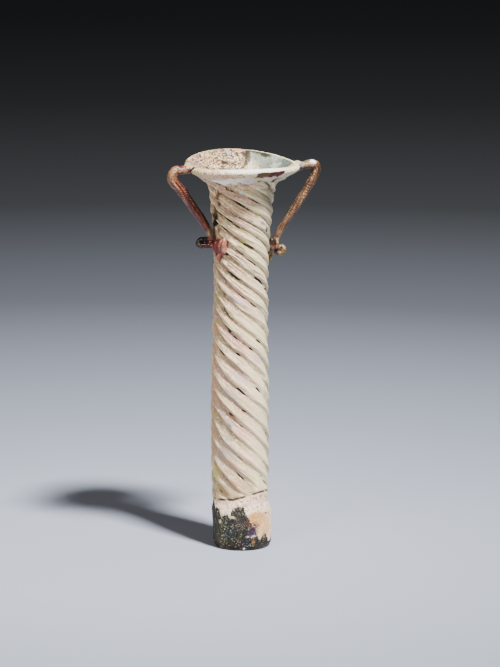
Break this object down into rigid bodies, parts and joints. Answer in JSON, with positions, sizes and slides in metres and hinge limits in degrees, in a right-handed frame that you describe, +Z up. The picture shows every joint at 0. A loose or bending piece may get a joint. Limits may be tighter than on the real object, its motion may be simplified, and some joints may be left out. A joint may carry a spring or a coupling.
{
  "type": "glass perfume flask",
  "caption": "Tall narrow perfume flask of weathered glass with twisted ribs, a solid foot, a funnel mouth and bent handles at its sides.",
  "frame": {"origin": "middle of the flat underside of the foot", "axes": "+Z up along the tube towards the mouth, -Y towards the front of the flask, +X towards the right handle"},
  "size_m": [0.0523, 0.0392, 0.1358],
  "materials": {
    "weathered_glass": "opaque pearly weathering, cream with pink, lavender and green tints, pitted",
    "left_brown_glass": "opaque red-brown glass, dull and stained",
    "right_brown_glass": "opaque brown glass with tan streaks, smooth with small highlights"
  },
  "bodies": {
    "root": {"flask_body": "weathered_glass", "handle_left": "left_brown_glass", "handle_right": "right_brown_glass"}
  },
  "joints": []
}
